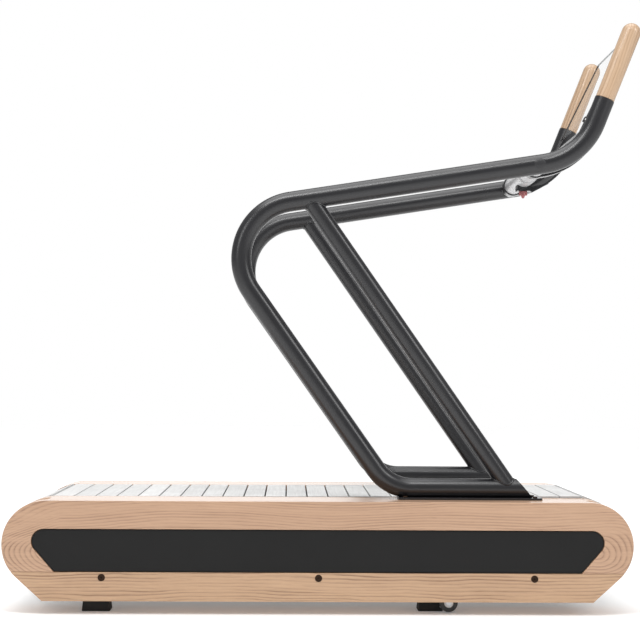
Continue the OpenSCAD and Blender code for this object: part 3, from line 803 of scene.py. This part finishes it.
def brace(name, material):
    """The brace with a weld bead where it meets the rail and the base."""
    ahead = (BRACE_FOOT - BRACE_TOP).normalized()
    bar = sweep("bar", [BRACE_TOP + ahead * 0.012, BRACE_FOOT - ahead * 0.012], BRACE_R, material, 64)
    top = weld_line(BRACE_TOP, ahead, BRACE_R, rail_point(2), rail_point(3), TUBE_R)
    foot = weld_line(BRACE_FOOT, -ahead, BRACE_R, rail_point(0), rail_point(1), TUBE_R)
    beads = [sweep("bead", line, 0.0026, material, 10, closed=True) for line in (top, foot)]
    return joined(name, [bar] + beads, material)


def grip_turning(name, material):
    joint = rail_point(4)
    ahead = Vector((math.cos(NECK_ANGLE), 0, math.sin(NECK_ANGLE)))
    length = (GRIP_HI.x - GRIP_R - joint.x) / ahead.x
    dome = arc(0, length, GRIP_R, 0, math.pi / 2, 20)
    foot = [(0, 0.0005), (GRIP_R - 0.0012, 0.0005), (GRIP_R, 0.0017)]
    profile = foot + dome[:-1] + [(0, length + GRIP_R)]
    return lathe(name, profile, joint, ahead, material, 72)


def rail_cap_disc(name, material):
    """Thin cap that lies on the rail's outer side."""
    ahead = (rail_point(3) - rail_point(2)).normalized()
    across = ahead.cross(Vector((0, 1, 0)))
    bm = bmesh.new()
    rings = [[bm.verts.new(cap_point(ahead, across, 0, 0, RAIL_CAP_T))]]
    for r, lift in ((RAIL_CAP_R * 0.5, RAIL_CAP_T), (RAIL_CAP_R * 0.9, RAIL_CAP_T),
                    (RAIL_CAP_R, 0.0003), (RAIL_CAP_R, -0.0015)):
        rings.append([bm.verts.new(cap_point(ahead, across, r * math.cos(a), r * math.sin(a), lift))
                      for a in (2 * math.pi * i / 48 for i in range(48))])
    for a, b in zip(rings, rings[1:]):
        for i in range(48):
            bm.faces.new(list(dict.fromkeys([a[i % len(a)], a[(i + 1) % len(a)], b[(i + 1) % 48], b[i]])))
    bm.faces.new(rings[-1])
    piece = new_piece(name, bm, material)
    smooth(piece)
    return piece


def cap_point(ahead, across, u, v, lift):
    """A point on the rail's outer side, u along it and v across it, lifted off the tube."""
    depth = math.sqrt((TUBE_R + lift) ** 2 - v * v)
    return Vector((BAR_X, RAIL_Y, BAR_Z)) + ahead * u + across * v + Vector((0, -depth, 0))


def hex_bolt(name, x, y, z, radius, height, material):
    """Button head with a hexagon socket, standing up."""
    head = lathe(name, rounded_disc(radius, 0.0, height, 0.0016), (x, y, z), (0, 0, 1), material, 40)
    floor, width = height - 0.0022, radius * 0.42
    socket = [(0.0, floor), (width, floor), (width, 0.02), (0.0, 0.02)]
    cut(head, lathe("socket", socket, (x, y, z), (0, 0, 1), material, 6))
    return head


def build_handrails():
    both_sides(handrail, "handrail", "chassis", "frame_black", "handrail_tube", (FRAME_BLACK,))
    both_sides(brace, "brace", "chassis", "frame_black", "handrail_brace", (FRAME_BLACK,))
    both_sides(grip_turning, "grip_turned", "chassis", "grip_wood", "grip",
               (WOODS["grip_r"], WOODS["grip_l"]))
    for side in "rl":
        plate = refined(f"handrail_plate_{side}", f"floor_plate_{side}", FRAME_BLACK, 0.0012, 3)
        show(plate, "chassis", "frame_black", f"handrail_plate_{side}")
    caps = rail_cap_disc("rail_cap_right", CAP_BLACK)
    both = joined("rail_cap_discs", [caps, flipped(caps, "rail_cap_left")], CAP_BLACK)
    show(both, "chassis", "frame_black", "rail_caps")
    lo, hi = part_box("plate_bolts")
    outer_y = hi.y - BOLT_HEAD_R
    bolts = [hex_bolt("bolt", x, s * y, PLATE_TOP_Z, BOLT_HEAD_R, BOLT_HEAD_T, SCREW_BLACK)
             for x in (lo.x + BOLT_HEAD_R, hi.x - BOLT_HEAD_R) for s in (-1, 1)
             for y in (outer_y, outer_y - BOLT_PITCH_Y)]
    show(joined("plate_bolt_heads", bolts, SCREW_BLACK), "chassis", "screw_black", "plate_bolts")


# ---- display ----


def build_display():
    reach = -RAIL_Y - 0.012
    bar = sweep("crossbar_tube", [Vector((BAR_X, -reach, BAR_Z)), Vector((BAR_X, reach, BAR_Z))],
                (BAR_HI.z - BAR_LO.z) / 2, SILVER, 72)
    smooth(bar)
    show(bar, "chassis", "silver", "crossbar")
    half = (HOUSING_HI.y - HOUSING_LO.y) / 2
    r = (HOUSING_HI.z - HOUSING_LO.z) / 2
    groove = 0.0008
    ends = [(r - 0.003, -half), (r, -half + 0.003), (r, -half + 0.018), (r - groove, -half + 0.0186),
            (r - groove, -half + 0.0196), (r, -half + 0.0202)]
    profile = [(0, -half)] + ends + [(a, -b) for a, b in reversed(ends)] + [(0, half)]
    housing = lathe("console_sleeve", profile, (BAR_X, 0, BAR_Z), (0, 1, 0), SILVER, 72)
    show(housing, "display", "silver", "console_housing")
    for node, name, width, segments in (("clamp_block", "clamp_body", 0.0012, 3),
                                        ("display_cradle", "cradle", 0.0007, 2)):
        show(refined(node, name, FRAME_BLACK, width, segments), "display", "frame_black", node)
    panel = refined("clear_panel", "clear_screen", CLEAR, 0.0006, 2)
    panel.data.materials.append(CLEAR_EDGE)
    broad = max(panel.data.polygons, key=lambda face: face.area).normal.copy()
    for face in panel.data.polygons:
        face.material_index = int(abs(face.normal.dot(broad)) < 0.5 and face.normal.z > -0.5)
    show(panel, "display", "clear", "clear_panel")
    show(refined("clamp_knob", "lobed_knob", KNOB_RED, 0.0006, 2), "knob", "knob_red", "clamp_knob")


# ---- feet and wheels ----


def wheel(name, node, side):
    lo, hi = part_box(node)
    centre = Vector(((lo.x + hi.x) / 2, (lo.y + hi.y) / 2, (lo.z + hi.z) / 2))
    r = (hi.z - lo.z) / 2
    half = (hi.y - lo.y) / 2
    tyre = lathe(f"{name}_tyre", wheel_profile(r, half), centre, (0, side, 0), TYRE, 72)
    show(tyre, f"wheel_{name}", "wheel_tyre", node)
    face, back = half + 0.0004, half - HUB_T
    profile = [(HUB_BORE_R, face), (HUB_R - 0.0015, face), (HUB_R, half - 0.0006),
               (HUB_R, back), (HUB_BORE_R, back)]
    hub = lathe(f"{name}_hub", profile, centre, (0, side, 0), HUB, 64)
    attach(hub, f"wheel_{name}")


def wheel_profile(r, half):
    """Tyre with a rounded tread and two grooves, bored for its axle."""
    groove = r - 0.0012
    right = [(r, 0.0006), (groove, 0.0012), (groove, 0.0024), (r, 0.003), (r, half - 0.005),
             (groove, half - 0.0016), (r - 0.004, half)]
    left = [(radius, -height) for radius, height in reversed(right)]
    return [(TYRE_BORE_R, half), (TYRE_BORE_R, -half)] + left + right


def build_feet():
    for place in ("front_foot", "rear_foot"):
        for side in "rl":
            foot = refined(f"{place}_{side}", f"{place}_pad_{side}", FOOT_RUBBER, 0.0025, 3)
            show(foot, "chassis", "black_rubber", f"{place}_{side}")
    wheel("right", "transport_wheel_r", -1)
    wheel("left", "transport_wheel_l", 1)
    show(refined("wheel_brackets", "wheel_forks", STEEL, 0.0006, 2), "chassis", "steel", "wheel_brackets")


# ---- hidden CAD parts keep their shape and get a finish ----

FINISHES = {
    "side_beam_r": FRAME_BLACK, "side_beam_l": FRAME_BLACK,
    "front_cross_member": FRAME_BLACK, "rear_cross_member": FRAME_BLACK,
    "bearing_rail_r": STEEL, "bearing_rail_l": STEEL,
    "track_bearings_r": BEARING, "track_bearings_l": BEARING,
    "drum_axles": STEEL, "axle_blocks": FRAME_BLACK,
    "front_drum": DRUM_ALLOY, "rear_drum": DRUM_ALLOY,
    "top_belts": BELT_RUBBER, "bottom_belts": BELT_RUBBER,
    "front_belts": BELT_RUBBER, "rear_belts": BELT_RUBBER,
}


def finish_cad_nodes():
    for node, material in FINISHES.items():
        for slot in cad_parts[node].material_slots:
            slot.material = material


# ---- floor and light ----


def build_floor():
    s = Shader("floor_white", Roughness=0.6, Specular_IOR_Level=0.2, Emission_Strength=0.16)
    s.bsdf.inputs["Emission Color"].default_value = (1, 1, 1, 1)
    cloud = s.noise(s.place, 0.7, 3.0)
    shade = s.mix(cloud, (0.86, 0.86, 0.86), (0.88, 0.88, 0.88))
    material = s.finish(shade, None, s.noise(s.place, 300.0), 0.03)
    bm = bmesh.new()
    bmesh.ops.create_grid(bm, x_segments=2, y_segments=2, size=16)
    new_piece("floor", bm, material)


def aimed(name, light, place, target):
    holder = bpy.data.objects.new(name, light)
    holder.location = place
    holder.rotation_euler = (Vector(target) - Vector(place)).to_track_quat("-Z", "Y").to_euler()
    bpy.context.scene.collection.objects.link(holder)


def area_light(name, place, target, width, height, power):
    light = bpy.data.lights.new(name, "AREA")
    light.shape = "RECTANGLE"
    light.size = width
    light.size_y = height
    light.energy = power
    aimed(name, light, place, target)


def build_world():
    """White to the camera, and dimmer as a source of light."""
    world = bpy.data.worlds.new("studio")
    bpy.context.scene.world = world
    world.use_nodes = True
    nodes, links = world.node_tree.nodes, world.node_tree.links
    path = nodes.new("ShaderNodeLightPath")
    glossy = nodes.new("ShaderNodeMix")
    glossy.inputs[2].default_value = 0.4
    glossy.inputs[3].default_value = 0.42
    seen = nodes.new("ShaderNodeMix")
    seen.inputs[3].default_value = 1.0
    links.new(path.outputs["Is Glossy Ray"], glossy.inputs[0])
    links.new(path.outputs["Is Camera Ray"], seen.inputs[0])
    links.new(glossy.outputs[0], seen.inputs[2])
    nodes["Background"].inputs["Color"].default_value = (1, 1, 1, 1)
    links.new(seen.outputs[0], nodes["Background"].inputs["Strength"])


def build_light():
    build_world()
    sky = bpy.data.lights.new("overhead", "SUN")
    sky.energy = 1.95
    sky.angle = math.radians(60)
    aimed("overhead", sky, (-0.3, 0.1, 3.0), (0, 0, 0))
    area_light("top_softbox", (-0.4, -1.9, 3.6), (0.1, 0, 0.9), 2.6, 0.55, 46)
    area_light("left_softbox", (-2.6, -2.6, 2.3), (0.1, 0, 0.7), 0.4, 1.5, 16)
    area_light("right_softbox", (2.8, -2.1, 2.7), (0.2, 0, 0.7), 0.45, 1.8, 30)
    area_light("back_card", (0, 5.5, 1.2), (0, 0, 0.5), 7.0, 2.2, 52)
    bpy.context.scene.view_settings.view_transform = "Standard"


build_side_bodies()
build_belt()
build_handrails()
build_display()
build_feet()
finish_cad_nodes()
build_floor()
build_light()
